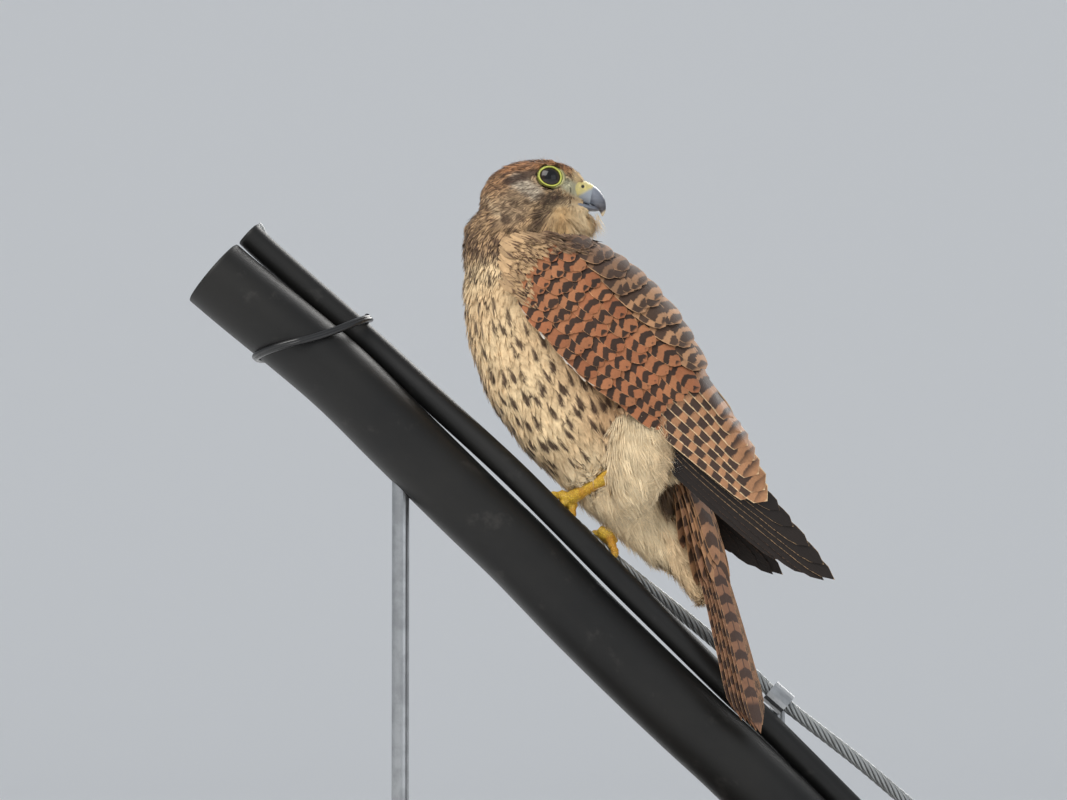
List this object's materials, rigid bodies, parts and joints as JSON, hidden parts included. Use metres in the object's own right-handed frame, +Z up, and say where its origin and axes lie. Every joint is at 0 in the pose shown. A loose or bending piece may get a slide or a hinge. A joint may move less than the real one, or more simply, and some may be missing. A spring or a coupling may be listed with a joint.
{
  "type": "kestrel display model",
  "caption": "Life-size perched kestrel looking back over its shoulder, on a short cut of steel wire beside black cables, held on a flat display stand.",
  "frame": {"origin": "middle of the underside of the stand's base", "axes": "+Z up, +X along the perch towards its lower end, +Y away from the side that the bird's left wing shows"},
  "size_m": [0.3776, 0.18, 0.4125],
  "materials": {
    "cable_sheath": "matte, weathered, lightly scuffed",
    "strand_steel": "dull galvanised steel strand",
    "tie_cord": "glossy black wrap",
    "stand_wood": "black stained, satin",
    "stand_steel": "satin",
    "bill_horn": "blue-grey horn, darker to the tip",
    "cere_skin": "waxy yellow-green skin",
    "eye_dark": "wet, very dark brown",
    "eyelid_skin": "bare yellow-green skin",
    "wing_coverts": "rufous barred black-brown, buff fringes",
    "flight_feathers": "black-brown and barred rufous, pale edges",
    "claw_horn": "black horn",
    "leg_scales": "yellow scaled skin",
    "body_plumage": "cream-buff with dark brown streaks, rufous crown",
    "tail_feathers": "rufous-brown with dark bars and buff tips"
  },
  "bodies": {
    "root": {"cable_thick": "cable_sheath", "cable_thin": "cable_sheath", "messenger_wire": "strand_steel", "cable_tie": "tie_cord", "stand_base": "stand_wood", "stand_rod_left": "stand_steel", "stand_rod_right": "stand_steel", "bill_upper": "bill_horn", "bill_lower": "bill_horn", "cere": "cere_skin", "eye_right": "eye_dark", "eye_left": "eye_dark", "eyelid_right": "eyelid_skin", "eyelid_left": "eyelid_skin", "wing_left_arm": "wing_coverts", "scapulars_left": "wing_coverts", "wing_left_secondaries": "flight_feathers", "wing_left_primaries": "flight_feathers", "claw_left_1": "claw_horn", "claw_left_2": "claw_horn", "claw_left_3": "claw_horn", "claw_left_4": "claw_horn", "tarsus_left": "leg_scales", "foot_left": "leg_scales", "thigh_left": "body_plumage", "wing_right_arm": "wing_coverts", "scapulars_right": "wing_coverts", "wing_right_secondaries": "flight_feathers", "wing_right_primaries": "flight_feathers", "claw_right_1": "claw_horn", "claw_right_2": "claw_horn", "claw_right_3": "claw_horn", "claw_right_4": "claw_horn", "tarsus_right": "leg_scales", "foot_right": "leg_scales", "thigh_right": "body_plumage", "head": "body_plumage", "neck": "body_plumage", "torso": "body_plumage", "undertail_coverts": "body_plumage", "tail": "tail_feathers"}
  },
  "joints": []
}
